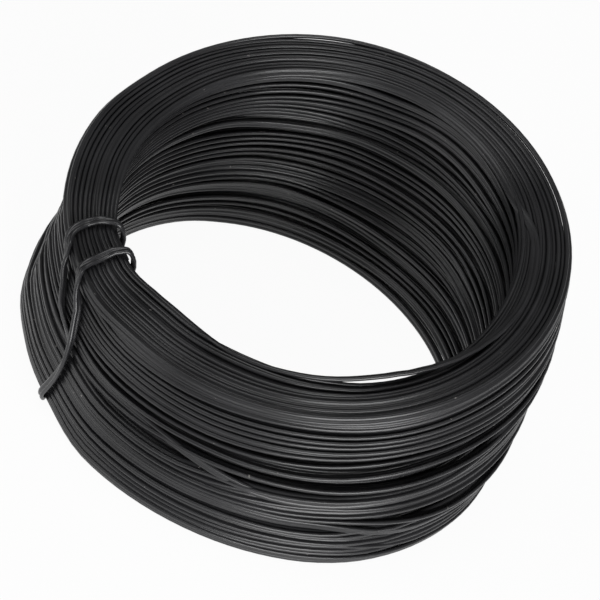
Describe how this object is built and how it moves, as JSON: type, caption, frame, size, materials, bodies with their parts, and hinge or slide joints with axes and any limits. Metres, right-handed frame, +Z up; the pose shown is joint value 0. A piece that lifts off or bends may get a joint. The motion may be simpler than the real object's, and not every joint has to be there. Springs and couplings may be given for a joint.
{
  "type": "coil of binding wire",
  "caption": "Coil of flat plastic-coated binding wire, lying on its end, its turns gathered by a wire tie on one side and fanned out opposite it.",
  "frame": {"origin": "centre of the coil's foot, on the floor that it lies on", "axes": "+Z up along the coil's axis; -Y towards the viewer of the picture; the tie stands 219 degrees round from +X, on the -X -Y side"},
  "size_m": [0.1305, 0.1317, 0.0646],
  "materials": {
    "coated_wire": "satin black PVC coating",
    "tie_wire": "satin black PVC coating"
  },
  "bodies": {
    "root": {"wire_coil": "coated_wire", "wire_tie": "tie_wire"}
  },
  "joints": []
}
